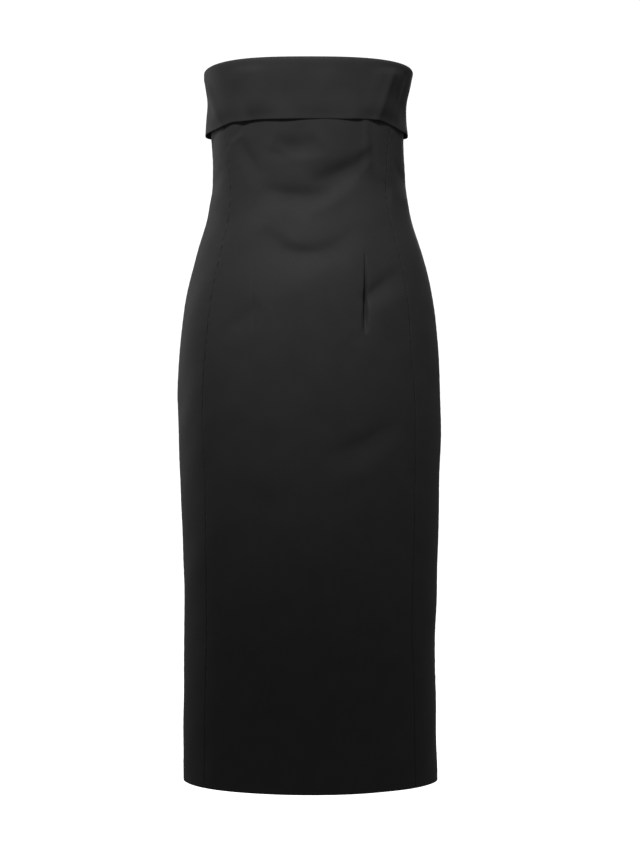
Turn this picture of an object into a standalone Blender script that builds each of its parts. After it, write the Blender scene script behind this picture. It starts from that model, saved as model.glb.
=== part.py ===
"""Strapless midi dress with a fold-over cuff, filled out to the form that it has when worn.

Units are metres and +Z is up. The front faces -Y. Right and left are the wearer's, so the wearer's
left is at +X. Heights in the tables count from the hem, and angles go round from centre front
towards the wearer's left, in degrees. The origin lies in the middle of the chest, HOLD_HEIGHT above
the hem, where the wearer holds the dress up.
"""

import math
from typing import NamedTuple

import bmesh
import bpy
import numpy as np

# Driving sizes
HOLD_HEIGHT = 0.985
TOP_HEIGHT = 1.040
CLOTH = 0.002
SEAM_GAP = 0.0004
REST_GAP = 0.0005

# The body panels end just inside the roll of the cuff, and the cuff's inner leg goes on from there.
BODY_TOP = 1.012
ROLL_DROP = 0.008  # from the top edge down to where the roll is widest
CUFF_LOW_FRONT = 0.951
CUFF_LOW_SIDE = 0.942

# Zip, from the top edge to the hips
ZIP_LOW = 0.600
ZIP_HIGH = 1.030
TAPE = 0.0008
SLIDER_HEIGHT = 1.004
SLIDER_SIZE = (0.0064, 0.0018, 0.0090)
SLIDER_ROUNDING = 0.0004
EAR_SIZE = (0.0009, 0.0038, 0.0032)
EAR_PAST_PIN = 0.0009
PIVOT_OUT = 0.0024
PIN_RADIUS = 0.00045
EYE_RADIUS = 0.0013
EYE_WIDTH = 0.0030
TAB_LENGTH = 0.0200
TAB_THICKNESS = 0.0011
TAB_NECK = 0.0010
TAB_TIP_RADIUS = 0.0030
TAB_ARC = (172, 368)  # degrees, where the straight sides meet the round tip
RUNNING_GAP = 0.0003

# How finely the shells are divided
BODY_BANDS = ((BODY_TOP, 0.700, 21), (0.700, 0.400, 11), (0.400, 0.000, 7))
SEAM_MARGIN = 0.003
FRONT_STEPS = (5, 3)  # from the middle to the dart, and on to the seam
SIDE_STEPS = 4
BACK_STEPS = (4, 3)
CUFF_FRONT_STEPS = 30
CUFF_BACK_STEPS = 10
ROLL_STEPS = 5
LEG_STEPS = 5
FOLD_STEPS = 12
ROUND_SIDES = 20


class Section(NamedTuple):
    """Outline of the outer face at one height: its reach each way, and where the front seams run."""

    height: float
    right: float
    left: float
    front: float
    back: float
    power: float  # 2 is an ellipse, and more is squarer
    seam: float


SECTIONS = (
    # height, right, left, front, back, power, seam
    Section(0.000, 0.1850, 0.1875, 0.122, 0.116, 2.00, 54),
    Section(0.100, 0.1850, 0.1860, 0.120, 0.116, 2.00, 54),
    Section(0.200, 0.1840, 0.1850, 0.118, 0.117, 2.00, 53),
    Section(0.420, 0.1885, 0.1910, 0.115, 0.122, 2.05, 52),
    Section(0.560, 0.1940, 0.1925, 0.112, 0.127, 2.10, 51),
    Section(0.630, 0.1910, 0.1885, 0.110, 0.126, 2.10, 50),
    Section(0.700, 0.1820, 0.1820, 0.106, 0.117, 2.10, 50),
    Section(0.770, 0.1650, 0.1660, 0.097, 0.100, 2.15, 49),
    Section(0.820, 0.1500, 0.1500, 0.091, 0.090, 2.20, 49),
    Section(0.865, 0.1440, 0.1415, 0.089, 0.086, 2.25, 50),
    Section(0.910, 0.1430, 0.1385, 0.091, 0.086, 2.30, 52),
    Section(0.950, 0.1445, 0.1385, 0.094, 0.088, 2.40, 55),
    Section(1.000, 0.1450, 0.1400, 0.098, 0.090, 2.50, 57),
    Section(1.040, 0.1475, 0.1440, 0.099, 0.091, 2.50, 58),
)


class StandOff(NamedTuple):
    """How far the cuff's outer face stands out from the body's, at one height."""

    height: float
    right: float
    left: float
    front: float
    back: float


STAND_OFFS = (
    # height, right, left, front, back
    StandOff(0.940, 0.0095, 0.0058, 0.0034, 0.0034),
    StandOff(0.965, 0.0070, 0.0036, 0.0032, 0.0034),
    StandOff(0.990, 0.0052, 0.0032, 0.0036, 0.0042),
    StandOff(1.012, 0.0068, 0.0064, 0.0058, 0.0052),
    StandOff(1.032, 0.0080, 0.0086, 0.0080, 0.0076),
)


class Fold(NamedTuple):
    """A soft trough or ridge along a curve through three places of the body."""

    start_angle: float
    start_height: float
    middle_angle: float
    middle_height: float
    end_angle: float
    end_height: float
    spread: float  # half its width
    rise: float  # a trough's is negative


FOLDS = (
    # start, middle and end, each as angle and height, then spread and rise
    Fold(-37, 0.915, -4, 0.857, 42, 0.925, 0.013, -0.0045),
    Fold(8, 0.903, 25, 0.912, 44, 0.925, 0.012, -0.0025),
    Fold(-22, 0.838, 2, 0.836, 32, 0.884, 0.015, 0.0028),
    Fold(-22, 0.805, 0, 0.767, 26, 0.803, 0.013, -0.0034),
    Fold(-4, 0.950, -4, 0.928, -6, 0.910, 0.009, -0.0016),
    Fold(27, 0.700, 34, 0.722, 48, 0.742, 0.010, -0.0032),
    Fold(31, 0.668, 37, 0.695, 52, 0.712, 0.013, 0.0022),
    Fold(-21, 0.692, -30, 0.672, -40, 0.640, 0.010, -0.0018),
    Fold(4, 0.470, 21, 0.492, 42, 0.528, 0.014, -0.0040),
    Fold(8, 0.428, 26, 0.458, 48, 0.508, 0.017, 0.0036),
    Fold(6, 0.575, 14, 0.598, 22, 0.625, 0.020, -0.0018),
    Fold(-44, 0.535, -22, 0.500, 0, 0.494, 0.016, -0.0020),
    Fold(-36, 0.440, -26, 0.420, -14, 0.405, 0.015, -0.0016),
    Fold(138, 0.900, 160, 0.868, 178, 0.872, 0.014, -0.0036),
    Fold(-142, 0.912, -165, 0.880, -184, 0.872, 0.014, -0.0030),
    Fold(146, 0.850, 165, 0.826, 179, 0.830, 0.014, 0.0024),
    Fold(-150, 0.800, -163, 0.778, -178, 0.782, 0.015, -0.0026),
    Fold(140, 0.556, 156, 0.520, 172, 0.508, 0.016, -0.0034),
    Fold(-150, 0.478, -136, 0.502, -118, 0.545, 0.017, -0.0030),
)


class Dart(NamedTuple):
    """A dart stitched from its top down to its point, which pulls the cloth into a groove."""

    top_angle: float
    top: float
    point_angle: float
    point: float
    depth: float


DART_SPREAD = 0.0045
DARTS = (
    # top angle, top, point angle, point, depth
    Dart(27, 0.775, 24, 0.648, 0.0026),
    Dart(-27, 0.775, -24, 0.648, 0.0012),
    Dart(148, 0.925, 148, 0.700, 0.0010),
    Dart(-148, 0.925, -148, 0.700, 0.0010),
)
FRONT_DART = DARTS[0]
BACK_DART = DARTS[2]

# Metres round the body for each radian, near enough for placing folds, darts and seams
ROUND_SCALE = 0.155
DART_SIDE = DART_SPREAD / ROUND_SCALE
SEAM_SIDE = SEAM_MARGIN / ROUND_SCALE


def material(name, colour, roughness, metallic=0.0):
    made = bpy.data.materials.new(name)
    made.use_nodes = True
    shader = made.node_tree.nodes["Principled BSDF"]
    shader.inputs["Base Color"].default_value = (*colour, 1)
    shader.inputs["Roughness"].default_value = roughness
    shader.inputs["Metallic"].default_value = metallic
    return made


def collection(name):
    made = bpy.data.collections.new(name)
    bpy.context.scene.collection.children.link(made)
    return made


def smooth(table, column, at):
    """Smooth curve through one column of a table, read at any heights."""
    heights = np.array([row.height for row in table])
    values = np.array([getattr(row, column) for row in table])
    slopes = np.gradient(values, heights)
    at = np.clip(at, heights[0], heights[-1])
    row = np.clip(np.searchsorted(heights, at) - 1, 0, len(heights) - 2)
    step = heights[row + 1] - heights[row]
    t = (at - heights[row]) / step
    return (
        values[row] * (1 + 2 * t) * (1 - t) ** 2
        + slopes[row] * step * t * (1 - t) ** 2
        + values[row + 1] * (3 - 2 * t) * t**2
        + slopes[row + 1] * step * (t - 1) * t**2
    )


def outline(height, angle):
    """Points of the outer face before its folds, and the level directions straight out of it."""
    sine, cosine = np.sin(angle), np.cos(angle)
    side = np.where(sine < 0, smooth(SECTIONS, "right", height), smooth(SECTIONS, "left", height))
    depth = np.where(cosine > 0, smooth(SECTIONS, "front", height), smooth(SECTIONS, "back", height))
    power = smooth(SECTIONS, "power", height)
    across = np.sign(sine) * np.abs(sine) ** (2 / power)
    along = -np.sign(cosine) * np.abs(cosine) ** (2 / power)
    points = np.stack([side * across, depth * along, height - HOLD_HEIGHT + 0 * across], axis=-1)
    out_x = np.sign(across) * np.abs(across) ** (power - 1) / side
    out_y = np.sign(along) * np.abs(along) ** (power - 1) / depth
    out = np.stack([out_x, out_y, 0 * out_x], axis=-1)
    return points, out / np.linalg.norm(out, axis=-1, keepdims=True)


def turned(angle, centre):
    """The angle counted from a centre, between half a turn back and half a turn on."""
    return (angle - centre + math.pi) % (2 * math.pi) - math.pi


def fold_rise(fold, height, angle):
    """How far one fold moves the cloth out, strongest on its curve and gone at both of its ends."""
    places = np.array(fold[:6]).reshape(3, 2)
    centre = math.radians(fold.middle_angle)
    places[:, 0] = (np.radians(places[:, 0]) - centre) * ROUND_SCALE
    start, middle, end = places
    bend = 2 * middle - (start + end) / 2
    t = np.linspace(0, 1, FOLD_STEPS + 1)[:, None]
    curve = (1 - t) ** 2 * start + 2 * t * (1 - t) * bend + t**2 * end
    here = np.stack([turned(angle, centre) * ROUND_SCALE, height + 0 * angle], axis=-1)
    nearest = np.full(here.shape[:-1], np.inf)
    reached = np.zeros_like(nearest)
    for step, (first, last) in enumerate(zip(curve, curve[1:])):
        way = last - first
        part = np.clip((here - first) @ way / (way @ way), 0, 1)
        distance = np.linalg.norm(here - first - part[..., None] * way, axis=-1)
        closer = distance < nearest
        nearest[closer] = distance[closer]
        reached[closer] = (step + part[closer]) / FOLD_STEPS
    taper = np.sin(np.pi * reached) ** 0.75
    return fold.rise * taper * np.exp(-((nearest / fold.spread) ** 2))


def dart_rise(dart, height, angle):
    """The groove of a dart, deepest two thirds of the way down."""
    down = np.clip((dart.top - height) / (dart.top - dart.point), 0, 1)
    away = np.abs(turned(angle, dart_angle(dart, height))) * ROUND_SCALE / DART_SPREAD
    return -dart.depth * np.sin(np.pi * down**1.7) * np.clip(1 - away, 0, 1)


def dart_angle(dart, height):
    """Where the line of a dart lies at any height, also above its top and below its point."""
    return np.radians(np.interp(height, (dart.point, dart.top), (dart.point_angle, dart.top_angle)))


def outer_face(height, angle, out=0.0):
    """Points of the body's outer face with its folds and darts, moved out by a distance."""
    height, angle = np.broadcast_arrays(np.asarray(height, float), angle)
    points, outward = outline(height, angle)
    rise = out + 0 * height
    for fold in FOLDS:
        rise = rise + fold_rise(fold, height, angle)
    for dart in DARTS:
        rise = rise + dart_rise(dart, height, angle)
    return points + rise[..., None] * outward


def cuff_face(height, angle, out=0.0):
    """Points of the cuff's outer face, moved out by a distance."""
    height, angle = np.broadcast_arrays(np.asarray(height, float), angle)
    points, outward = outline(height, angle)
    return points + (stand_off(height, angle) + out)[..., None] * outward


def stand_off(height, angle):
    sine, cosine = np.sin(angle), np.cos(angle)
    side = np.where(sine < 0, smooth(STAND_OFFS, "right", height), smooth(STAND_OFFS, "left", height))
    middle = np.where(cosine > 0, smooth(STAND_OFFS, "front", height), smooth(STAND_OFFS, "back", height))
    return side * sine**2 + middle * cosine**2


def body_heights():
    """Heights of the body's rows, from its top down to the hem."""
    rows = [np.linspace(top, low, steps + 1)[:-1] for top, low, steps in BODY_BANDS]
    return np.append(np.concatenate(rows), BODY_BANDS[-1][1])


def with_gaps(rows, heights, face):
    """Rows of angles, with their first and last moved in from the seams by half of the gap."""
    rows = np.array(rows)
    for edge, inner in ((0, 1), (-1, -2)):
        ends = face(heights, rows[:, edge])
        width = np.linalg.norm(face(heights, rows[:, inner]) - ends, axis=-1)
        rows[:, edge] += (rows[:, inner] - rows[:, edge]) * SEAM_GAP / 2 / width
    return rows


def front_angles(height):
    """Angles across the front panel at one height, close together at its darts and seams."""
    seam = math.radians(float(smooth(SECTIONS, "seam", height)))
    dart = float(dart_angle(FRONT_DART, height))
    inner, outer = FRONT_STEPS
    half = np.concatenate(
        [
            np.linspace(0, dart - DART_SIDE, inner + 1),
            [dart],
            np.linspace(dart + DART_SIDE, seam - SEAM_SIDE, outer + 1),
            [seam],
        ]
    )
    return np.concatenate([-half[:0:-1], half])


def side_angles(height):
    """Angles across the left side panel at one height, close together at its seams."""
    seam = math.radians(float(smooth(SECTIONS, "seam", height)))
    return between_seams(seam, math.pi / 2, SIDE_STEPS)


def back_angles(height):
    """Angles across the left back at one height, close together at its dart and seams."""
    dart = float(dart_angle(BACK_DART, height))
    outer, inner = BACK_STEPS
    return np.concatenate(
        [
            [math.pi / 2],
            np.linspace(math.pi / 2 + SEAM_SIDE, dart - DART_SIDE, outer + 1),
            [dart],
            np.linspace(dart + DART_SIDE, math.pi - SEAM_SIDE, inner + 1),
            [math.pi],
        ]
    )


def between_seams(start, end, steps):
    return np.concatenate([[start], np.linspace(start + SEAM_SIDE, end - SEAM_SIDE, steps + 1), [end]])


def mirrored(angles):
    return lambda height: -angles(height)[::-1]


def loft(name, points, finish, parts):
    """Open surface through rows of points that run from the wearer's right to left."""
    rows, columns = points.shape[:2]
    shape = bmesh.new()
    bmesh.ops.create_grid(shape, x_segments=columns - 1, y_segments=rows - 1, size=0.5)
    for vertex in shape.verts:
        column = round((vertex.co.x + 0.5) * (columns - 1))
        row = round((0.5 - vertex.co.y) * (rows - 1))
        vertex.co = points[row, column]
    mesh = bpy.data.meshes.new(name)
    shape.to_mesh(mesh)
    shape.free()
    mesh.shade_smooth()
    mesh.materials.append(finish)
    made = bpy.data.objects.new(name, mesh)
    parts.objects.link(made)
    return made


def give_thickness(made, thickness, offset):
    """Turns a surface into cloth: offset -1 puts it all inside the surface, and 0 half on each side."""
    shell = made.modifiers.new("Cloth", "SOLIDIFY")
    shell.thickness = thickness
    shell.offset = offset
    shell.use_even_offset = True


def body_panel(name, angles, finish, parts):
    heights = body_heights()
    rows = with_gaps([angles(height) for height in heights], heights, outer_face)
    made = loft(name, outer_face(heights[:, None], rows), finish, parts)
    give_thickness(made, CLOTH, -1)


def cuff_points(angle):
    """One line over the cuff: up its inner leg, round the roll and down its outer leg, mid-wall."""
    half = CLOTH / 2
    roll_width = float(stand_off(TOP_HEIGHT - ROLL_DROP, angle))
    radius = roll_width / 2
    roll_height = TOP_HEIGHT - half - radius
    start = BODY_TOP + SEAM_GAP
    inner = outline(np.array([start, roll_height]), np.array([angle, angle]))
    line = list(inner[0] - half * inner[1])
    (centre,), (outward,) = outline(np.array([roll_height]), np.array([angle]))
    centre = centre + (radius - half) * outward
    for turn in np.linspace(math.pi, 0, ROLL_STEPS + 1)[1:]:
        line.append(centre + radius * (math.cos(turn) * outward + np.array([0, 0, math.sin(turn)])))
    low = CUFF_LOW_FRONT + (CUFF_LOW_SIDE - CUFF_LOW_FRONT) * math.sin(angle) ** 2
    legs = np.linspace(roll_height, low, LEG_STEPS + 1)[1:]
    line.extend(cuff_face(legs, np.full(len(legs), angle), -half))
    return np.array(line)


def cuff_panel(name, start, end, steps, finish, parts):
    angles = between_seams(math.radians(start), math.radians(end), steps)
    (angles,) = with_gaps([angles], np.array([CUFF_LOW_FRONT]), cuff_face)
    made = loft(name, np.stack([cuff_points(angle) for angle in angles], axis=1), finish, parts)
    give_thickness(made, CLOTH, 0)


def zip_tape(finish, parts):
    """The tape behind the centre back, on the panels' own columns beside the seam."""
    beside = back_angles(0)[-3]
    heights = body_heights()
    heights = heights[(heights > ZIP_LOW) & (heights < BODY_TOP)]
    heights = np.concatenate([[ZIP_HIGH, BODY_TOP + SEAM_GAP / 2], heights, [ZIP_LOW]])
    angles = np.array([beside, math.pi - SEAM_SIDE, math.pi + SEAM_SIDE, 2 * math.pi - beside])
    points = outer_face(heights[:, None], angles[None, :], -CLOTH - REST_GAP)
    made = loft("zip_tape", points, finish, parts)
    give_thickness(made, TAPE, -1)


def add_box(name, size, place, finish, home):
    shape = bmesh.new()
    bmesh.ops.create_cube(shape, size=1)
    bmesh.ops.scale(shape, vec=size, verts=shape.verts)
    return add_shape(name, shape, place, finish, home)


def add_rod(name, radius, length, place, finish, home):
    """A round rod along X."""
    shape = bmesh.new()
    bmesh.ops.create_cone(
        shape, cap_ends=True, segments=ROUND_SIDES, radius1=radius, radius2=radius, depth=length
    )
    made = add_shape(name, shape, place, finish, home)
    made.rotation_euler.y = math.pi / 2
    return made


def add_shape(name, shape, place, finish, home):
    mesh = bpy.data.meshes.new(name)
    shape.to_mesh(mesh)
    shape.free()
    mesh.materials.append(finish)
    made = bpy.data.objects.new(name, mesh)
    made.location = place
    home.objects.link(made)
    return made


def combine(made, other, operation):
    other.hide_render = True
    other.display_type = "WIRE"
    change = made.modifiers.new(operation.title(), "BOOLEAN")
    change.operation = operation
    change.object = other


def pivot_place():
    """Middle of the hinge, clear of the cuff at the centre back."""
    reach = SLIDER_SIZE[2] / 2
    heights = np.array([SLIDER_HEIGHT - reach, SLIDER_HEIGHT, SLIDER_HEIGHT + reach])
    cloth = cuff_face(heights, math.pi)[:, 1].max()
    return np.array([0, cloth + REST_GAP + SLIDER_SIZE[1] + PIVOT_OUT, SLIDER_HEIGHT - HOLD_HEIGHT])


def zip_slider(finish, parts, tools):
    """The slider's plate with two ears and the pin between them."""
    pivot = pivot_place()
    plate = pivot - (0, PIVOT_OUT + SLIDER_SIZE[1] / 2, 0)
    made = add_box("zip_slider", SLIDER_SIZE, plate, finish, parts)
    rounding = made.modifiers.new("Rounding", "BEVEL")
    rounding.width = SLIDER_ROUNDING
    rounding.segments = 2
    ear_side = EYE_WIDTH / 2 + RUNNING_GAP + EAR_SIZE[0] / 2
    ear_out = SLIDER_SIZE[1] / 2 + PIVOT_OUT + EAR_PAST_PIN - EAR_SIZE[1] / 2
    for side, name in ((-1, "ear_right"), (1, "ear_left")):
        place = plate + (side * ear_side, ear_out, 0)
        combine(made, add_box(name, EAR_SIZE, place, finish, tools), "UNION")
    pin_length = 2 * ear_side
    combine(made, add_rod("pin", PIN_RADIUS, pin_length, pivot, finish, tools), "UNION")


def zip_pull(finish, parts, tools):
    """The drop-shaped tab, whose eye turns on the slider's pin."""
    pivot = pivot_place()
    made = tab_plate(pivot, finish, parts)
    combine(made, add_rod("eye", EYE_RADIUS, EYE_WIDTH, pivot, finish, tools), "UNION")
    hole = add_rod("eye_hole", PIN_RADIUS + RUNNING_GAP, 2 * EYE_WIDTH, pivot, finish, tools)
    combine(made, hole, "DIFFERENCE")


def tab_plate(pivot, finish, parts):
    """Flat drop in the XZ plane: straight sides from the neck that widen to a round tip."""
    tip = TAB_LENGTH - TAB_TIP_RADIUS
    arc = np.radians(np.linspace(*TAB_ARC, ROUND_SIDES))
    drop = [(-TAB_NECK, 0)]
    drop += [(TAB_TIP_RADIUS * math.cos(a), TAB_TIP_RADIUS * math.sin(a) - tip) for a in arc]
    drop += [(TAB_NECK, 0)]
    shape = bmesh.new()
    corners = [shape.verts.new((x, -TAB_THICKNESS / 2, z)) for x, z in drop]
    face = shape.faces.new(corners)
    thick = bmesh.ops.extrude_face_region(shape, geom=[face])["geom"]
    moved = [part for part in thick if isinstance(part, bmesh.types.BMVert)]
    bmesh.ops.translate(shape, vec=(0, TAB_THICKNESS, 0), verts=moved)
    bmesh.ops.recalc_face_normals(shape, faces=shape.faces)
    return add_shape("zip_pull", shape, pivot, finish, parts)


def main():
    for old in list(bpy.data.objects):
        bpy.data.objects.remove(old)
    crepe = material("Black satin crepe", (0.022, 0.022, 0.024), 0.55)
    tape = material("Black zip tape", (0.018, 0.018, 0.019), 0.75)
    metal = material("Black enamelled metal", (0.030, 0.030, 0.032), 0.30, 0.6)
    parts = collection("Strapless dress")
    tools = collection("Cutters and joined shapes")
    body_panel("front_panel", front_angles, crepe, parts)
    body_panel("side_front_left", side_angles, crepe, parts)
    body_panel("side_front_right", mirrored(side_angles), crepe, parts)
    body_panel("back_left", back_angles, crepe, parts)
    body_panel("back_right", mirrored(back_angles), crepe, parts)
    cuff_panel("cuff_front", -90, 90, CUFF_FRONT_STEPS, crepe, parts)
    cuff_panel("cuff_back_left", 90, 180, CUFF_BACK_STEPS, crepe, parts)
    cuff_panel("cuff_back_right", -180, -90, CUFF_BACK_STEPS, crepe, parts)
    zip_tape(tape, parts)
    zip_slider(metal, parts, tools)
    zip_pull(metal, parts, tools)


main()
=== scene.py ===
"""Looks of the strapless dress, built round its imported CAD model.

Units are metres and +Z is up, in the CAD model's frame: the front faces -Y and the origin lies
HOLD_HEIGHT above the hem. Right and left are the wearer's, so the wearer's left is at +X. Heights in
the tables count from the hem, and angles go round from centre front towards the wearer's left, in
degrees.
"""

import math
from typing import NamedTuple

import bmesh
import bpy
import numpy as np
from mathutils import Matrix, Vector


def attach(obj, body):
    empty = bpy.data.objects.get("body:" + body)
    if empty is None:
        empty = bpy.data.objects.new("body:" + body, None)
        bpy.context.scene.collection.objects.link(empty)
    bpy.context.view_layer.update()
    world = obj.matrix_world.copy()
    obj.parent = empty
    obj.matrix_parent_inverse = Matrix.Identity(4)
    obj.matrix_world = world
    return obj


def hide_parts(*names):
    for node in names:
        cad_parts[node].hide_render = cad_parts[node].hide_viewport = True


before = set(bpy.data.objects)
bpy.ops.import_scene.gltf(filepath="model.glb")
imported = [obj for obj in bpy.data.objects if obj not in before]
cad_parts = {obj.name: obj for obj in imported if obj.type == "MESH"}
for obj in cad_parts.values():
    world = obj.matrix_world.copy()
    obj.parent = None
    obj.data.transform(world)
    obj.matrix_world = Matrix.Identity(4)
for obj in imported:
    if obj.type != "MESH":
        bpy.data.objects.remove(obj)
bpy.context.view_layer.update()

# Driving sizes, as in the CAD model
HOLD_HEIGHT = 0.985
TOP_HEIGHT = 1.040
CLOTH = 0.002
CUFF_CLOTH = 0.0012
BODY_TOP = 1.012
ROLL_DROP = 0.008
ZIP_LOW = 0.600
ZIP_HIGH = 1.030
TAPE = 0.0008
REST_GAP = 0.0005

# The seams almost close, and the cloth dips into them
SEAM_GAP = 0.00045
SEAM_DIP = 0.0005
SEAM_DIP_WIDTH = 0.0018
SEAM_PUCKER = 0.00016
PUCKER_REACH = 0.009
PUCKER_SHIFT = 1.7  # radians between the puckers at a piece's two edges
RIM_ROUNDING = 0.0002
RIM_ANGLE = 60
HEM_DEPTH = 0.030
HEM_RIDGE = 0.00022
HEM_RIDGE_SOFTNESS = 0.0015
ALLOWANCE = 0.012
ALLOWANCE_CLOTH = 0.0008
ALLOWANCE_GAP = 0.0001
ALLOWANCE_DIP = 0.0006
ALLOWANCE_DIP_WIDTH = 0.0008
ALLOWANCE_LOW = 0.0015
ALLOWANCE_HIGH = 1.008
ALLOWANCE_ROWS = 220
ALLOWANCE_COLUMNS = 13

# The puckers along a seam: radians for each metre of height, and their share
PUCKERS = ((510, 1.0), (283, 0.7), (781, 0.5))

# Zip
TAPE_HALF = 0.0093
TAPE_COLUMNS = 12
TAPE_ROWS = 140
TAPE_FULL_HIGH = 1.024  # the rows are close together from here down
TAPE_FULL_LOW = 0.006  # and end this far above the tape's lower end
SEAM_BELOW_ZIP = 0.004
COIL_LOW = 0.008
COIL_HIGH = 1.001
TOOTH = (0.0026, 0.0010, 0.0005)
TOOTH_PITCH = 0.0013
TOOTH_SIDE = 0.0007
TOOTH_GAP = 0.0001
TOOTH_ROUNDING = 0.0001

# How finely the shells are divided
BODY_BANDS = ((BODY_TOP, 0.600, 148), (0.600, 0.330, 62), (0.330, 0.040, 48), (0.040, 0.000, 12))
SEAM_MARGIN = 0.0032
SEAM_STEPS = 7
DART_MARGIN = 0.0060
DART_STEPS = 11
FRONT_STEPS = (22, 20)
SIDE_STEPS = 30
BACK_STEPS = (40, 24)
CUFF_FRONT_STEPS = 150
CUFF_BACK_STEPS = 74
INNER_LEG_STEPS = 4
ROLL_STEPS = 14
OUTER_LEG_STEPS = 34
FOLD_STEPS = 12
FOLD_TAPER = 0.75  # less is fuller towards both ends of a fold
FOLD_REACH = 4.5  # in spreads, past which a fold is too slight to matter
LOWER_SIDE = 2.0  # how much gentler a trough is below its middle than above it

# Metres round the body for each radian, near enough for placing folds, darts and seams
ROUND_SCALE = 0.155


class Section(NamedTuple):
    """Outline of the outer face at one height: its reach each way, and where the front seams run."""

    height: float
    right: float
    left: float
    front: float
    back: float
    power: float  # 2 is an ellipse, and more is squarer
    seam: float


SECTIONS = (
    # height, right, left, front, back, power, seam
    Section(0.000, 0.1850, 0.1875, 0.122, 0.116, 2.00, 54),
    Section(0.100, 0.1850, 0.1860, 0.120, 0.116, 2.00, 54),
    Section(0.200, 0.1840, 0.1850, 0.118, 0.117, 2.00, 53),
    Section(0.420, 0.1885, 0.1910, 0.115, 0.122, 2.05, 52),
    Section(0.560, 0.1940, 0.1925, 0.112, 0.127, 2.10, 51),
    Section(0.630, 0.1910, 0.1885, 0.110, 0.126, 2.10, 50),
    Section(0.700, 0.1820, 0.1820, 0.106, 0.117, 2.10, 50),
    Section(0.770, 0.1650, 0.1660, 0.097, 0.100, 2.15, 49),
    Section(0.820, 0.1500, 0.1500, 0.091, 0.090, 2.20, 49),
    Section(0.865, 0.1440, 0.1415, 0.089, 0.086, 2.25, 50),
    Section(0.910, 0.1430, 0.1385, 0.091, 0.086, 2.30, 52),
    Section(0.950, 0.1445, 0.1385, 0.094, 0.088, 2.40, 55),
    Section(1.000, 0.1450, 0.1400, 0.098, 0.090, 2.50, 57),
    Section(1.040, 0.1475, 0.1440, 0.099, 0.091, 2.50, 58),
)


class StandOff(NamedTuple):
    """How far the cuff's outer face stands out from the body's, at one height."""

    height: float
    right: float
    left: float
    front: float
    back: float


STAND_OFFS = (
    # height, right, left, front, back
    StandOff(0.940, 0.0095, 0.0058, 0.0034, 0.0034),
    StandOff(0.965, 0.0070, 0.0036, 0.0032, 0.0034),
    StandOff(0.990, 0.0052, 0.0032, 0.0036, 0.0042),
    StandOff(1.012, 0.0068, 0.0064, 0.0058, 0.0052),
    StandOff(1.032, 0.0080, 0.0086, 0.0080, 0.0076),
)


class CuffEdge(NamedTuple):
    """Height of the cuff's lower edge at one angle."""

    angle: float
    height: float


CUFF_EDGES = (
    # angle, height
    CuffEdge(-180, 0.9500),
    CuffEdge(-150, 0.9490),
    CuffEdge(-120, 0.9460),
    CuffEdge(-90, 0.9430),
    CuffEdge(-70, 0.9445),
    CuffEdge(-54, 0.9485),
    CuffEdge(-45, 0.9520),
    CuffEdge(-36, 0.9518),
    CuffEdge(-27, 0.9532),
    CuffEdge(-10, 0.9532),
    CuffEdge(4, 0.9536),
    CuffEdge(18, 0.9536),
    CuffEdge(33, 0.9548),
    CuffEdge(43, 0.9540),
    CuffEdge(57, 0.9490),
    CuffEdge(72, 0.9435),
    CuffEdge(90, 0.9420),
    CuffEdge(118, 0.9460),
    CuffEdge(150, 0.9485),
    CuffEdge(180, 0.9500),
)


class Lift(NamedTuple):
    """A stretch of the cuff's lower edge that stands off the body, or lies closer to it."""

    angle: float
    spread: float  # degrees, half its width
    lift: float


CUFF_LIFTS = (
    # angle, spread, lift
    Lift(0, 34, -0.0018),
    Lift(180, 50, -0.0012),
    Lift(-62, 15, -0.0042),
    Lift(-31, 14, -0.0030),
    Lift(-36, 3.5, 0.0022),
    Lift(-9, 8, 0.0016),
    Lift(24, 6, 0.0018),
    Lift(37, 11, -0.0036),
    Lift(54, 12, -0.0030),
    Lift(76, 10, 0.0016),
    Lift(-150, 9, 0.0012),
    Lift(146, 7, 0.0010),
)
LIFT_REACH = 0.014

# How much lower the cuff's top runs at the sides than in the middle
RIGHT_TOP_DIP = 0.0045
LEFT_TOP_DIP = 0.0020
INNER_LEG_GAP = 0.0004  # between the body's top edge and the cuff's inner leg
CREASE_FADE = 0.014  # below the roll, over which the cuff's creases fade in


class Fold(NamedTuple):
    """A soft trough or ridge along a curve through three places of the cloth."""

    start_angle: float
    start_height: float
    middle_angle: float
    middle_height: float
    end_angle: float
    end_height: float
    spread: float  # half its width
    rise: float  # a trough's is negative


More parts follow.
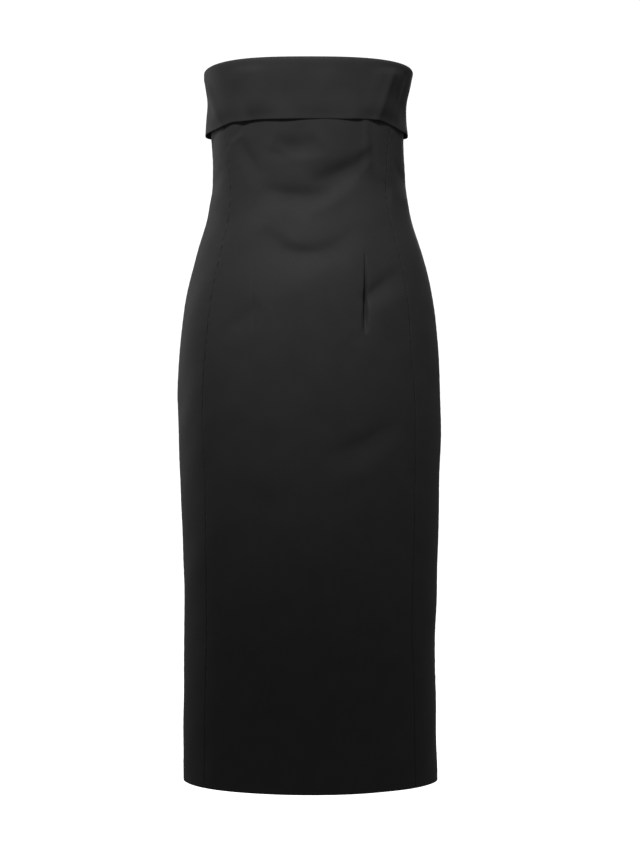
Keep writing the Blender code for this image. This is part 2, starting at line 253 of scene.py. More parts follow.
# The broad folds, near those of the CAD model, with a few set closer to the photo
FOLDS = (
    # start, middle and end, each as angle and height, then spread and rise
    Fold(-42, 0.925, -2, 0.846, 44, 0.925, 0.030, -0.0026),
    Fold(0, 0.862, 18, 0.880, 42, 0.906, 0.013, -0.0054),
    Fold(-4, 0.818, 12, 0.836, 32, 0.876, 0.010, 0.0008),
    Fold(-23, 0.802, -2, 0.761, 26, 0.802, 0.012, -0.0036),
    Fold(-18, 0.922, -6, 0.914, 5, 0.921, 0.013, -0.0036),
    Fold(24, 0.688, 33, 0.716, 48, 0.738, 0.010, -0.0028),
    Fold(30, 0.664, 36, 0.690, 50, 0.708, 0.012, 0.0006),
    Fold(-21, 0.692, -30, 0.672, -40, 0.640, 0.010, -0.0018),
    Fold(4, 0.470, 21, 0.492, 42, 0.528, 0.013, -0.0030),
    Fold(8, 0.428, 26, 0.458, 48, 0.508, 0.016, 0.0016),
    Fold(6, 0.575, 14, 0.598, 22, 0.625, 0.020, -0.0018),
    Fold(-44, 0.535, -22, 0.500, 0, 0.494, 0.016, -0.0020),
    Fold(-36, 0.440, -26, 0.420, -14, 0.405, 0.015, -0.0016),
    Fold(138, 0.900, 160, 0.868, 178, 0.872, 0.014, -0.0036),
    Fold(-142, 0.912, -165, 0.880, -184, 0.872, 0.014, -0.0030),
    Fold(146, 0.850, 165, 0.826, 179, 0.830, 0.014, 0.0024),
    Fold(-150, 0.800, -163, 0.778, -178, 0.782, 0.015, -0.0026),
    Fold(140, 0.556, 156, 0.520, 172, 0.508, 0.016, -0.0034),
    Fold(-150, 0.478, -136, 0.502, -118, 0.545, 0.017, -0.0030),
)

# Smaller creases, which only the looks have: first the front's, then the sides' and the back's
CREASES = (
    # start, middle and end, each as angle and height, then spread and rise
    Fold(26, 0.896, 32, 0.905, 40, 0.916, 0.005, -0.0009),
    Fold(-26, 0.856, -8, 0.846, 12, 0.846, 0.011, -0.0036),
    Fold(-25, 0.912, -16, 0.905, -7, 0.894, 0.005, -0.0007),
    Fold(-42, 0.928, -34, 0.902, -27, 0.872, 0.009, -0.0018),
    Fold(-49, 0.930, -44, 0.936, -38, 0.944, 0.003, -0.0008),
    Fold(-50, 0.920, -43, 0.928, -36, 0.936, 0.004, 0.0007),
    Fold(-14, 0.905, -3, 0.896, 10, 0.906, 0.008, 0.0008),
    Fold(30, 0.985, 33, 0.925, 37, 0.870, 0.008, 0.0016),
    Fold(34, 0.886, 44, 0.862, 54, 0.850, 0.014, -0.0036),
    Fold(-18, 0.797, -8, 0.770, 4, 0.765, 0.007, -0.0008),
    Fold(-3, 0.947, -3, 0.935, -2, 0.921, 0.005, -0.0006),
    Fold(24, 0.692, 29, 0.708, 38, 0.724, 0.006, -0.0012),
    Fold(22, 0.655, 18, 0.636, 13, 0.622, 0.007, -0.0008),
    Fold(-20, 0.690, -27, 0.672, -34, 0.657, 0.006, -0.0005),
    Fold(-38, 0.628, -33, 0.614, -27, 0.604, 0.008, -0.0006),
    Fold(12, 0.476, 23, 0.493, 39, 0.520, 0.008, -0.0009),
    Fold(-34, 0.318, -24, 0.304, -14, 0.294, 0.020, 0.0010),
    Fold(-26, 0.238, -6, 0.215, 15, 0.192, 0.022, 0.0010),
    Fold(30, 0.345, 38, 0.362, 47, 0.386, 0.018, -0.0008),
    Fold(-8, 0.100, 6, 0.122, 22, 0.130, 0.024, -0.0008),
    Fold(56, 0.905, 72, 0.880, 92, 0.874, 0.009, -0.0014),
    Fold(55, 0.860, 70, 0.846, 88, 0.850, 0.010, 0.0009),
    Fold(-56, 0.892, -74, 0.870, -94, 0.868, 0.009, -0.0013),
    Fold(-60, 0.846, -76, 0.838, -92, 0.846, 0.010, 0.0008),
    Fold(62, 0.690, 76, 0.668, 92, 0.660, 0.013, -0.0010),
    Fold(-64, 0.560, -78, 0.544, -95, 0.548, 0.014, -0.0011),
    Fold(96, 0.890, 112, 0.866, 132, 0.872, 0.008, -0.0012),
    Fold(-98, 0.880, -116, 0.860, -134, 0.868, 0.008, -0.0012),
    Fold(104, 0.560, 122, 0.532, 140, 0.528, 0.012, -0.0011),
    Fold(-170, 0.726, -158, 0.706, -150, 0.690, 0.007, -0.0010),
    Fold(172, 0.720, 160, 0.700, 150, 0.688, 0.006, -0.0008),
    Fold(152, 0.940, 160, 0.925, 172, 0.918, 0.006, -0.0009),
    Fold(-174, 0.936, -162, 0.922, -152, 0.926, 0.006, -0.0009),
    Fold(120, 0.350, 138, 0.330, 160, 0.326, 0.020, 0.0012),
    Fold(-165, 0.260, -140, 0.238, -118, 0.246, 0.022, 0.0012),
)

# Dents and turns of the cuff
CUFF_CREASES = (
    # start, middle and end, each as angle and height, then spread and rise
    Fold(-94, 1.060, -71, 1.000, -46, 0.925, 0.010, 0.0024),
    Fold(-28, 1.090, -28, 0.990, -29, 0.890, 0.026, 0.0026),
    Fold(58, 1.090, 44, 0.990, 30, 0.890, 0.028, 0.0040),
    Fold(57, 1.080, 45, 0.990, 32, 0.900, 0.008, 0.0018),
    Fold(76, 1.080, 68, 0.990, 62, 0.900, 0.012, -0.0022),
    Fold(-12, 1.000, 4, 0.994, 18, 1.000, 0.012, -0.0003),
    Fold(104, 1.020, 116, 0.990, 128, 0.960, 0.012, -0.0008),
    Fold(-104, 1.016, -120, 0.990, -132, 0.956, 0.013, -0.0009),
    Fold(150, 0.962, 160, 0.972, 172, 0.968, 0.010, 0.0005),
)


class Wave(NamedTuple):
    """A slow waviness that runs all round the dress."""

    around: int  # waves in a full turn
    up: float  # waves for each metre of height
    phase: float  # degrees
    rise: float


WAVES = (
    # around, up, phase, rise
    Wave(5, 3.1, 40, 0.00045),
    Wave(-7, 5.3, 155, 0.00030),
    Wave(11, -8.2, 260, 0.00018),
    Wave(-13, 12.7, 20, 0.00012),
    Wave(3, 7.9, 200, 0.00022),
)
CUFF_WAVES = (
    # around, up, phase, rise
    Wave(9, 5.0, 70, 0.00022),
    Wave(-14, 14.0, 190, 0.00014),
    Wave(23, -9.0, 310, 0.00007),
)


class Dart(NamedTuple):
    """A dart stitched from its top down to its point, which pulls the cloth into a groove."""

    top_angle: float
    top: float
    point_angle: float
    point: float
    depth: float
    line: float  # depth of the stitched line itself, in the middle of the groove


# Half widths of a dart's groove on its steeper and its gentler side, and of its stitched line
DART_STEEP = 0.0022
DART_GENTLE = 0.0100
DART_LINE_SPREAD = 0.0022
DART_LINE_START = 0.5  # share of the line's spread at the top of the dart
DART_POWER = 1.7  # puts the deepest place two thirds of the way down
DARTS = (
    # top angle, top, point angle, point, depth, line
    Dart(27, 0.775, 24, 0.648, 0.0018, 0.0072),
    Dart(-27, 0.775, -24, 0.648, 0.0004, 0.0003),
    Dart(148, 0.925, 148, 0.700, 0.0008, 0.0016),
    Dart(-148, 0.925, -148, 0.700, 0.0008, 0.0016),
)
FRONT_DART = DARTS[0]
BACK_DART = DARTS[2]


# Shapes


def smooth(table, column, at, key="height"):
    """Smooth curve through one column of a table, read at any heights, or at any values of its key."""
    places = np.array([getattr(row, key) for row in table])
    values = np.array([getattr(row, column) for row in table])
    slopes = np.gradient(values, places)
    at = np.clip(at, places[0], places[-1])
    row = np.clip(np.searchsorted(places, at) - 1, 0, len(places) - 2)
    step = places[row + 1] - places[row]
    t = (at - places[row]) / step
    return (
        values[row] * (1 + 2 * t) * (1 - t) ** 2
        + slopes[row] * step * t * (1 - t) ** 2
        + values[row + 1] * (3 - 2 * t) * t**2
        + slopes[row + 1] * step * (t - 1) * t**2
    )


def outline(height, angle):
    """Points of the outer face before its folds, and the level directions straight out of it."""
    sine, cosine = np.sin(angle), np.cos(angle)
    side = np.where(sine < 0, smooth(SECTIONS, "right", height), smooth(SECTIONS, "left", height))
    depth = np.where(cosine > 0, smooth(SECTIONS, "front", height), smooth(SECTIONS, "back", height))
    power = smooth(SECTIONS, "power", height)
    across = np.sign(sine) * np.abs(sine) ** (2 / power)
    along = -np.sign(cosine) * np.abs(cosine) ** (2 / power)
    points = np.stack([side * across, depth * along, height - HOLD_HEIGHT + 0 * across], axis=-1)
    out_x = np.sign(across) * np.abs(across) ** (power - 1) / side
    out_y = np.sign(along) * np.abs(along) ** (power - 1) / depth
    out = np.stack([out_x, out_y, 0 * out_x], axis=-1)
    return points, out / np.linalg.norm(out, axis=-1, keepdims=True)


def turned(angle, centre):
    """The angle counted from a centre, between half a turn back and half a turn on."""
    return (angle - centre + math.pi) % (2 * math.pi) - math.pi


def fold_rise(fold, height, angle):
    """How far one fold moves the cloth out, strongest on its curve and gone at both of its ends."""
    places = np.array(fold[:6]).reshape(3, 2)
    centre = math.radians(fold.middle_angle)
    places[:, 0] = (np.radians(places[:, 0]) - centre) * ROUND_SCALE
    start, middle, end = places
    bend = 2 * middle - (start + end) / 2
    t = np.linspace(0, 1, FOLD_STEPS + 1)[:, None]
    curve = (1 - t) ** 2 * start + 2 * t * (1 - t) * bend + t**2 * end
    place = np.stack([turned(angle, centre) * ROUND_SCALE, height + 0 * angle], axis=-1)
    reach = FOLD_REACH * fold.spread
    near = np.all((place > curve.min(axis=0) - reach) & (place < curve.max(axis=0) + reach), axis=-1)
    here = place[near]
    nearest = np.full(len(here), np.inf)
    reached = np.zeros_like(nearest)
    below = np.zeros(len(here), bool)
    for step, (first, last) in enumerate(zip(curve, curve[1:])):
        way = last - first
        part = np.clip((here - first) @ way / (way @ way), 0, 1)
        offset = here - first - part[..., None] * way
        distance = np.linalg.norm(offset, axis=-1)
        closer = distance < nearest
        nearest[closer] = distance[closer]
        below[closer] = offset[closer, 1] < 0
        reached[closer] = (step + part[closer]) / FOLD_STEPS
    taper = np.sin(np.pi * reached) ** FOLD_TAPER
    rise = np.zeros(near.shape)
    spread = np.where(below & (fold.rise < 0), LOWER_SIDE, 1) * fold.spread
    rise[near] = fold.rise * taper * np.exp(-((nearest / spread) ** 2))
    return rise


def wave_rise(waves, height, angle):
    total = 0 * height
    for wave in waves:
        turns = wave.around * angle + 2 * np.pi * wave.up * height
        total = total + wave.rise * np.sin(turns + math.radians(wave.phase))
    return total


def dart_rise(dart, height, angle):
    """The groove of a dart, deepest two thirds of the way down, with its stitched line in the middle."""
    down = np.clip((dart.top - height) / (dart.top - dart.point), 0, 1)
    away = turned(angle, dart_angle(dart, height)) * ROUND_SCALE
    spread = np.where(away < 0, DART_STEEP, DART_GENTLE)
    groove = dart.depth * np.exp(-((away / spread) ** 2))
    line = dart.line * np.exp(-((away / (DART_LINE_SPREAD * (DART_LINE_START + down))) ** 2))
    return -np.sin(np.pi * down**DART_POWER) * (groove + line)


def dart_angle(dart, height):
    """Where the line of a dart lies at any height, also above its top and below its point."""
    return np.radians(np.interp(height, (dart.point, dart.top), (dart.point_angle, dart.top_angle)))


def outer_face(height, angle, out=0.0):
    """Points of the body's outer face with its folds and darts, moved out by a distance."""
    height, angle = np.broadcast_arrays(np.asarray(height, float), angle)
    points, outward = outline(height, angle)
    rise = out + wave_rise(WAVES, height, angle)
    for fold in FOLDS + CREASES:
        rise = rise + fold_rise(fold, height, angle)
    for dart in DARTS:
        rise = rise + dart_rise(dart, height, angle)
    return points + rise[..., None] * outward


def stand_off(height, angle):
    sine, cosine = np.sin(angle), np.cos(angle)
    side = np.where(sine < 0, smooth(STAND_OFFS, "right", height), smooth(STAND_OFFS, "left", height))
    middle = np.where(cosine > 0, smooth(STAND_OFFS, "front", height), smooth(STAND_OFFS, "back", height))
    return side * sine**2 + middle * cosine**2


def cuff_face(height, angle, out=0.0):
    """Points of the cuff's outer face with its dents and its lifted edge, moved out by a distance."""
    height, angle = np.broadcast_arrays(np.asarray(height, float), angle)
    points, outward = outline(height, angle)
    creases = wave_rise(CUFF_WAVES, height, angle)
    for fold in CUFF_CREASES:
        creases = creases + fold_rise(fold, height, angle)
    fade = np.clip((TOP_HEIGHT - ROLL_DROP - height) / CREASE_FADE, 0, 1)
    rise = stand_off(height, angle) + out + creases * fade**2 * (3 - 2 * fade)
    above_edge = np.clip(height - smooth(CUFF_EDGES, "height", np.degrees(angle), "angle"), 0, None)
    for lift in CUFF_LIFTS:
        away = np.degrees(turned(angle, math.radians(lift.angle))) / lift.spread
        rise = rise + lift.lift * np.exp(-(away**2) - (above_edge / LIFT_REACH) ** 2)
    return points + rise[..., None] * outward


def body_heights():
    """Heights of the body's rows, from its top down to the hem."""
    rows = [np.linspace(top, low, steps + 1)[:-1] for top, low, steps in BODY_BANDS]
    return np.append(np.concatenate(rows), BODY_BANDS[-1][1])


def closer_to_end(start, end, steps):
    """Values from start to end whose steps get smaller towards the end."""
    share = np.linspace(0, 1, steps + 1)
    return start + (end - start) * np.sin(share * math.pi / 2)


def between(edges, steps):
    """Angles over a piece: close together at both of its edges, and at the darts between them.

    edges are the angles of the seams and darts, first to last, and steps has a number for each part.
    The piece ends half a gap short of its seams.
    """
    half_gap = SEAM_GAP / 2 / ROUND_SCALE
    edges = [edges[0] + half_gap, *edges[1:-1], edges[-1] - half_gap]
    margin = SEAM_MARGIN / ROUND_SCALE
    dart_margin = DART_MARGIN / ROUND_SCALE
    found = [closer_to_end(edges[0] + margin, edges[0], SEAM_STEPS)[::-1]]
    starts = [edges[0] + margin] + [dart + dart_margin for dart in edges[1:-1]]
    ends = [dart - dart_margin for dart in edges[1:-1]] + [edges[-1] - margin]
    for number, (start, end, count) in enumerate(zip(starts, ends, steps)):
        if number:
            found.append(closer_to_end(start, edges[number], DART_STEPS)[::-1][1:])
        found.append(np.linspace(start, end, count + 1)[1:])
        if number < len(steps) - 1:
            found.append(closer_to_end(end, edges[number + 1], DART_STEPS)[1:])
    found.append(closer_to_end(edges[-1] - margin, edges[-1], SEAM_STEPS)[1:])
    return np.concatenate(found)


def front_angles(height):
    seam = math.radians(float(smooth(SECTIONS, "seam", height)))
    dart = float(dart_angle(FRONT_DART, height))
    inner, outer = FRONT_STEPS
    return between([-seam, -dart, dart, seam], [outer, 2 * inner, outer])


def side_angles(height):
    seam = math.radians(float(smooth(SECTIONS, "seam", height)))
    return between([seam, math.pi / 2], [SIDE_STEPS])


def back_angles(height):
    dart = float(dart_angle(BACK_DART, height))
    return between([math.pi / 2, dart, math.pi], BACK_STEPS)


def mirrored(angles):
    return lambda height: -angles(height)[::-1]


def seam_rise(rows, heights):
    """How far the cloth dips into the seams at both ends of its rows, and puckers beside them."""
    total = np.zeros_like(rows)
    for edge, phase in ((0, 0.0), (-1, PUCKER_SHIFT)):
        away = np.abs(rows - rows[:, [edge]]) * ROUND_SCALE
        dip = np.clip(1 - away / SEAM_DIP_WIDTH, 0, 1) ** 2
        ripple = 0 * heights[:, None]
        for number, (rate, share) in enumerate(PUCKERS, 1):
            ripple = ripple + share * np.sin(heights[:, None] * rate + number * phase)
        total = total - SEAM_DIP * dip + SEAM_PUCKER * ripple * np.exp(-away / PUCKER_REACH)
    return total


def hem_rise(heights):
    """The faint ridge over the raw edge of the hem, which is turned up inside."""
    return HEM_RIDGE / 2 * (1 + np.tanh((HEM_DEPTH - heights) / HEM_RIDGE_SOFTNESS))


# Meshes


def loft(name, points, finish):
    """Open surface through rows of points that run from the wearer's right to left."""
    rows, columns = points.shape[:2]
    shape = bmesh.new()
    bmesh.ops.create_grid(shape, x_segments=columns - 1, y_segments=rows - 1, size=0.5)
    for vertex in shape.verts:
        column = round((vertex.co.x + 0.5) * (columns - 1))
        row = round((0.5 - vertex.co.y) * (rows - 1))
        vertex.co = points[row, column]
    mesh = bpy.data.meshes.new(name)
    shape.to_mesh(mesh)
    shape.free()
    mesh.shade_smooth()
    mesh.materials.append(finish)
    made = bpy.data.objects.new(name, mesh)
    bpy.context.scene.collection.objects.link(made)
    return made


def give_thickness(made, thickness, offset):
    """Turns a surface into cloth with rounded edges: offset -1 puts it all inside the surface."""
    shell = made.modifiers.new("Cloth", "SOLIDIFY")
    shell.thickness = thickness
    shell.offset = offset
    shell.use_even_offset = True
    rounding = made.modifiers.new("Rounded rims", "BEVEL")
    rounding.width = RIM_ROUNDING
    rounding.segments = 2
    rounding.limit_method = "ANGLE"
    rounding.angle_limit = math.radians(RIM_ANGLE)


def settle(made, node, body):
    """The piece stands for a CAD node and moves with its body."""
    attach(made, body)
    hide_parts(node)


def body_panel(node, angles, finish):
    heights = body_heights()
    rows = np.array([angles(height) for height in heights])
    extra = seam_rise(rows, heights) + hem_rise(heights)[:, None]
    made = loft(node + "_cloth", outer_face(heights[:, None], rows, extra), finish)
    give_thickness(made, CLOTH, -1)
    settle(made, node, "dress")


def cuff_points(angle):
    """One line over the cuff: up its inner leg, round the roll and down its outer leg, mid-wall."""
    half = CUFF_CLOTH / 2
    roll_width = float(stand_off(TOP_HEIGHT - ROLL_DROP, angle))
    radius = roll_width / 2
    dip = RIGHT_TOP_DIP if angle < 0 else LEFT_TOP_DIP
    roll_height = TOP_HEIGHT - half - radius - dip * math.sin(angle) ** 4
    legs = np.linspace(BODY_TOP + INNER_LEG_GAP, roll_height, INNER_LEG_STEPS + 1)
    inner = outline(legs, np.full(len(legs), angle))
    line = list(inner[0] - half * inner[1])
    (centre,), (outward,) = outline(np.array([roll_height]), np.array([angle]))
    centre = centre + (radius - half) * outward
    for turn in np.linspace(math.pi, 0, ROLL_STEPS + 1)[1:]:
        line.append(centre + radius * (math.cos(turn) * outward + np.array([0, 0, math.sin(turn)])))
    low = float(smooth(CUFF_EDGES, "height", math.degrees(angle), "angle"))
    legs = np.linspace(roll_height, low, OUTER_LEG_STEPS + 1)[1:]
    line.extend(cuff_face(legs, np.full(len(legs), angle), -half))
    return np.array(line)


def cuff_panel(node, start, end, steps, finish):
    angles = between([math.radians(start), math.radians(end)], [steps])
    points = np.stack([cuff_points(angle) for angle in angles], axis=1)
    made = loft(node + "_cloth", points, finish)
    give_thickness(made, CUFF_CLOTH, 0)
    settle(made, node, "dress")


def front_seam(height):
    return np.radians(smooth(SECTIONS, "seam", height))


def front_seam_right(height):
    return -front_seam(height)


def straight_seam(degrees):
    return lambda height: math.radians(degrees) + 0 * height


def seam_allowance(name, seam, top, finish):
    """Both allowances of one seam, pressed open inside it."""
    heights = np.linspace(top, ALLOWANCE_LOW, ALLOWANCE_ROWS)[:, None]
    away = np.linspace(-ALLOWANCE, ALLOWANCE, ALLOWANCE_COLUMNS)
    dip = -ALLOWANCE_DIP * np.exp(-((away / ALLOWANCE_DIP_WIDTH) ** 2))
    points = outer_face(heights, seam(heights) + away / ROUND_SCALE, dip - CLOTH - ALLOWANCE_GAP)
    made = loft(name, points, finish)
    give_thickness(made, ALLOWANCE_CLOTH, -1)
    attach(made, "dress")
    return made


def zip_tape(finish):
    """The woven tape behind the centre back."""
    rows = np.linspace(TAPE_FULL_HIGH, ZIP_LOW + TAPE_FULL_LOW, TAPE_ROWS)
    heights = np.concatenate([[ZIP_HIGH], rows, [ZIP_LOW]])
    angles = math.pi + np.linspace(-TAPE_HALF, TAPE_HALF, TAPE_COLUMNS) / ROUND_SCALE
    points = outer_face(heights[:, None], angles[None, :], -CLOTH - REST_GAP)
    made = loft("zip_tape_woven", points, finish)
    give_thickness(made, TAPE, -1)
    settle(made, "zip_tape", "dress")
    return made


def zip_coil(finish):
    """The closed coil on the tape's inner side: teeth from the left and the right in turn."""
    heights = np.arange(ZIP_LOW + COIL_LOW, COIL_HIGH, TOOTH_PITCH / 2)
    behind = CLOTH + REST_GAP + TAPE + TOOTH_GAP + TOOTH[1] / 2
    places = outer_face(heights, np.full(len(heights), math.pi), -behind)
    shape = bmesh.new()
    for number, place in enumerate(places):
        side = TOOTH_SIDE if number % 2 else -TOOTH_SIDE
        corners = bmesh.ops.create_cube(shape, size=1)["verts"]
        bmesh.ops.scale(shape, vec=TOOTH, verts=corners)
        bmesh.ops.translate(shape, vec=place + (side, 0, 0), verts=corners)
    mesh = bpy.data.meshes.new("zip_coil")
    shape.to_mesh(mesh)
    shape.free()
    mesh.materials.append(finish)
    made = bpy.data.objects.new("zip_coil", mesh)
    bpy.context.scene.collection.objects.link(made)
    rounding = made.modifiers.new("Rounding", "BEVEL")
    rounding.width = TOOTH_ROUNDING
    rounding.segments = 1
    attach(made, "dress")
    return made


# Materials

NOISE_LOW, NOISE_HIGH = 0.3, 0.7  # where most of a noise texture's values lie


def material(name, colour, roughness):
    made = bpy.data.materials.new(name)
    made.use_nodes = True
    shader = made.node_tree.nodes["Principled BSDF"]
    shader.inputs["Base Color"].default_value = (*colour, 1)
    shader.inputs["Roughness"].default_value = roughness
    return made, shader, made.node_tree


def noise(tree, scale, detail, stretch=(1, 1, 1)):
    """Noise in the dress's own coordinates, so that it stays on the cloth."""
    place = tree.nodes.new("ShaderNodeTexCoord")
    mapping = tree.nodes.new("ShaderNodeMapping")
    mapping.inputs["Scale"].default_value = stretch
    texture = tree.nodes.new("ShaderNodeTexNoise")
    texture.inputs["Scale"].default_value = scale
    texture.inputs["Detail"].default_value = detail
    tree.links.new(place.outputs["Object"], mapping.inputs["Vector"])
    tree.links.new(mapping.outputs["Vector"], texture.inputs["Vector"])
    return texture.outputs["Fac"]


def remapped(tree, value, low, high):
    change = tree.nodes.new("ShaderNodeMapRange")
    change.inputs["From Min"].default_value = NOISE_LOW
    change.inputs["From Max"].default_value = NOISE_HIGH
    change.inputs["To Min"].default_value = low
    change.inputs["To Max"].default_value = high
    tree.links.new(value, change.inputs["Value"])
    return change.outputs["Result"]


def blended(tree, factor, first, second):
    mix = tree.nodes.new("ShaderNodeMix")
    mix.data_type = "RGBA"
    mix.inputs["A"].default_value = (*first, 1)
    mix.inputs["B"].default_value = (*second, 1)
    tree.links.new(factor, mix.inputs["Factor"])
    return mix.outputs["Result"]


def raised(tree, shader, heights):
    """Bumps, each as a height, its strength and its depth in metres, one on top of the other."""
    normal = None
    for height, strength, depth in heights:
        bump = tree.nodes.new("ShaderNodeBump")
        bump.inputs["Strength"].default_value = strength
        bump.inputs["Distance"].default_value = depth
        tree.links.new(height, bump.inputs["Height"])
        if normal is not None:
            tree.links.new(normal, bump.inputs["Normal"])
        normal = bump.outputs["Normal"]
    tree.links.new(normal, shader.inputs["Normal"])


def crepe_material():
    """Black satin-backed crepe: a fine pebbled face with a soft, even sheen."""
    made, shader, tree = material("Black satin crepe", (0.0235, 0.0235, 0.0245), 0.66)
    shader.inputs["Specular IOR Level"].default_value = 0.09
    shader.inputs["Sheen Weight"].default_value = 0.03
    shader.inputs["Sheen Roughness"].default_value = 0.45
    shader.inputs["Sheen Tint"].default_value = (0.85, 0.88, 0.95, 1)
    pebble = noise(tree, 1900, 2, (1, 1, 0.55))
    yarn = noise(tree, 520, 3, (1, 1, 0.25))
    patch = noise(tree, 26, 3)
    tint = blended(tree, remapped(tree, patch, 0, 1), (0.0225, 0.0225, 0.0235), (0.0255, 0.0253, 0.0261))
    tree.links.new(tint, shader.inputs["Base Color"])
    tree.links.new(remapped(tree, yarn, 0.62, 0.70), shader.inputs["Roughness"])
    raised(tree, shader, [(pebble, 0.22, 0.00012), (yarn, 0.12, 0.00020)])
    return made


def tape_material():
    """Woven polyester zip tape."""
    made, shader, tree = material("Black zip tape", (0.018, 0.018, 0.019), 0.75)
    yarn = noise(tree, 1500, 2, (0.4, 0.4, 1.6))
    tint = blended(tree, remapped(tree, yarn, 0, 1), (0.014, 0.014, 0.015), (0.022, 0.022, 0.023))
    tree.links.new(tint, shader.inputs["Base Color"])
    raised(tree, shader, [(yarn, 0.5, 0.0002)])
    return made


def coil_material():
    """Smooth dyed nylon."""
    made, _, _ = material("Black nylon coil", (0.016, 0.016, 0.017), 0.38)
    return made


def metal_material():
    """Black enamel on zip metal, a little worn."""
    made, shader, tree = material("Black enamelled metal", (0.030, 0.030, 0.032), 0.30)
    shader.inputs["Metallic"].default_value = 0.6
    wear = noise(tree, 900, 4)
    tint = blended(tree, remapped(tree, wear, 0, 1), (0.024, 0.024, 0.026), (0.045, 0.045, 0.047))
    tree.links.new(tint, shader.inputs["Base Color"])
    tree.links.new(remapped(tree, wear, 0.24, 0.40), shader.inputs["Roughness"])
    raised(tree, shader, [(wear, 0.15, 0.00005)])
    return made


# Studio

CAMERA_BACK = 2.6
CAMERA_HEIGHT = 0.517 - HOLD_HEIGHT
CAMERA_LENS = 74.62
CAMERA_SIDE = 0.0154
FLOOR_DROP = 0.30
FLOOR_SIZE = 60
DRESS_WORLD = 0.24
CAMERA_WORLD = 1.1


def look_at(made, place, target):
    made.location = place
    made.rotation_euler = (Vector(target) - Vector(place)).to_track_quat("-Z", "Y").to_euler()


def camera():
    lens = bpy.data.cameras.new("Camera")
    lens.lens = CAMERA_LENS
    made = bpy.data.objects.new("Camera", lens)
    bpy.context.scene.collection.objects.link(made)
    made.location = (CAMERA_SIDE, -CAMERA_BACK, CAMERA_HEIGHT)
    made.rotation_euler = (math.pi / 2, 0, 0)
    bpy.context.scene.camera = made


def area_light(name, place, target, size, power, spread=180):
    light = bpy.data.lights.new(name, "AREA")
    light.shape = "RECTANGLE"
    light.size, light.size_y = size
    light.energy = power
    light.spread = math.radians(spread)
    made = bpy.data.objects.new(name, light)
    bpy.context.scene.collection.objects.link(made)
    look_at(made, place, target)


def spot_light(name, place, target, width, blend, radius, power):
    """A round softbox with a grid: its light fades out towards the edge of its beam."""
    light = bpy.data.lights.new(name, "SPOT")
    light.spot_size = math.radians(width)
    light.spot_blend = blend
    light.shadow_soft_size = radius
    light.energy = power
    made = bpy.data.objects.new(name, light)
    bpy.context.scene.collection.objects.link(made)
    look_at(made, place, target)


def studio():
    """White all round for the camera, and a dim soft light from all round for the dress."""
    world = bpy.data.worlds.new("Studio")
    bpy.context.scene.world = world
    world.use_nodes = True
    tree = world.node_tree
    soft = tree.nodes["Background"]
    soft.inputs["Color"].default_value = (1, 1, 1, 1)
    soft.inputs["Strength"].default_value = DRESS_WORLD
    white = tree.nodes.new("ShaderNodeBackground")
    white.inputs["Color"].default_value = (1, 1, 1, 1)
    white.inputs["Strength"].default_value = CAMERA_WORLD
    seen = tree.nodes.new("ShaderNodeLightPath")
    mix = tree.nodes.new("ShaderNodeMixShader")
    tree.links.new(seen.outputs["Is Camera Ray"], mix.inputs["Fac"])
    tree.links.new(soft.outputs["Background"], mix.inputs[1])
    tree.links.new(white.outputs["Background"], mix.inputs[2])
    tree.links.new(mix.outputs["Shader"], tree.nodes["World Output"].inputs["Surface"])
    bpy.context.scene.view_settings.view_transform = "Standard"


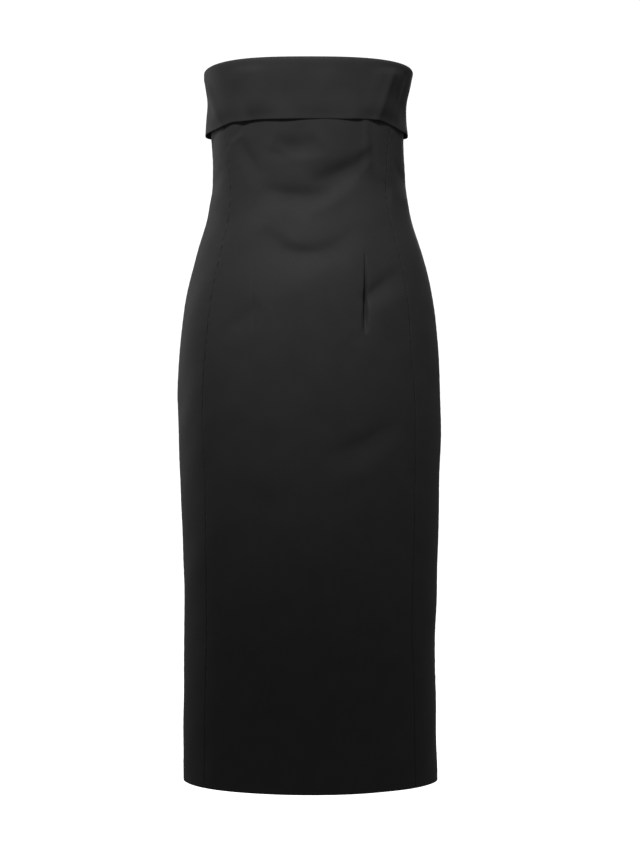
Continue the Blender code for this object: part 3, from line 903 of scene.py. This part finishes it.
def floor():
    shape = bmesh.new()
    bmesh.ops.create_grid(shape, x_segments=1, y_segments=1, size=FLOOR_SIZE / 2)
    mesh = bpy.data.meshes.new("floor")
    shape.to_mesh(mesh)
    shape.free()
    pale, shader, _ = material("Pale floor", (0.85, 0.85, 0.85), 0.8)
    shader.inputs["Emission Color"].default_value = (1, 1, 1, 1)
    shader.inputs["Emission Strength"].default_value = 1.0
    mesh.materials.append(pale)
    made = bpy.data.objects.new("floor", mesh)
    bpy.context.scene.collection.objects.link(made)
    made.location.z = -HOLD_HEIGHT - FLOOR_DROP
    made.visible_diffuse = False
    made.visible_glossy = False


def lights():
    """The key in front, a thin strip behind each side for the bright edges, and a fill for the back."""
    key = {"width": 26, "blend": 0.43, "radius": 0.20, "power": 250}
    spot_light("Key", (-0.38, -1.65, 1.50), (-0.06, -0.1, 0.15), **key)
    left = {"size": (0.25, 1.0), "power": 2.6, "spread": 120}
    area_light("Left strip", (-1.3, 0.72, 0.0), (-0.12, 0, -0.15), **left)
    area_light("Back fill", (0.6, 2.2, 1.0), (0, 0.1, -0.3), size=(1.2, 1.4), power=18)
    right = {"size": (0.25, 1.3), "power": 0.16, "spread": 120}
    area_light("Right strip", (1.2, 1.1, 0.1), (0.12, 0, -0.2), **right)


def main():
    crepe = crepe_material()
    tape = tape_material()
    coil = coil_material()
    metal = metal_material()
    front_left = seam_allowance("seam_front_left", front_seam, ALLOWANCE_HIGH, crepe)
    front_right = seam_allowance("seam_front_right", front_seam_right, ALLOWANCE_HIGH, crepe)
    side_left = seam_allowance("seam_side_left", straight_seam(90), ALLOWANCE_HIGH, crepe)
    side_right = seam_allowance("seam_side_right", straight_seam(-90), ALLOWANCE_HIGH, crepe)
    centre = seam_allowance("seam_centre_back", straight_seam(180), ZIP_LOW - SEAM_BELOW_ZIP, crepe)
    body_panel("front_panel", front_angles, crepe)
    body_panel("side_front_left", side_angles, crepe)
    body_panel("side_front_right", mirrored(side_angles), crepe)
    body_panel("back_left", back_angles, crepe)
    body_panel("back_right", mirrored(back_angles), crepe)
    cuff_panel("cuff_front", -90, 90, CUFF_FRONT_STEPS, crepe)
    cuff_panel("cuff_back_left", 90, 180, CUFF_BACK_STEPS, crepe)
    cuff_panel("cuff_back_right", -180, -90, CUFF_BACK_STEPS, crepe)
    zip_tape(tape)
    zip_coil(coil)
    for node in ("zip_slider", "zip_pull"):
        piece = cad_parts[node]
        piece.data.materials.clear()
        piece.data.materials.append(metal)
    camera()
    studio()
    floor()
    lights()


main()
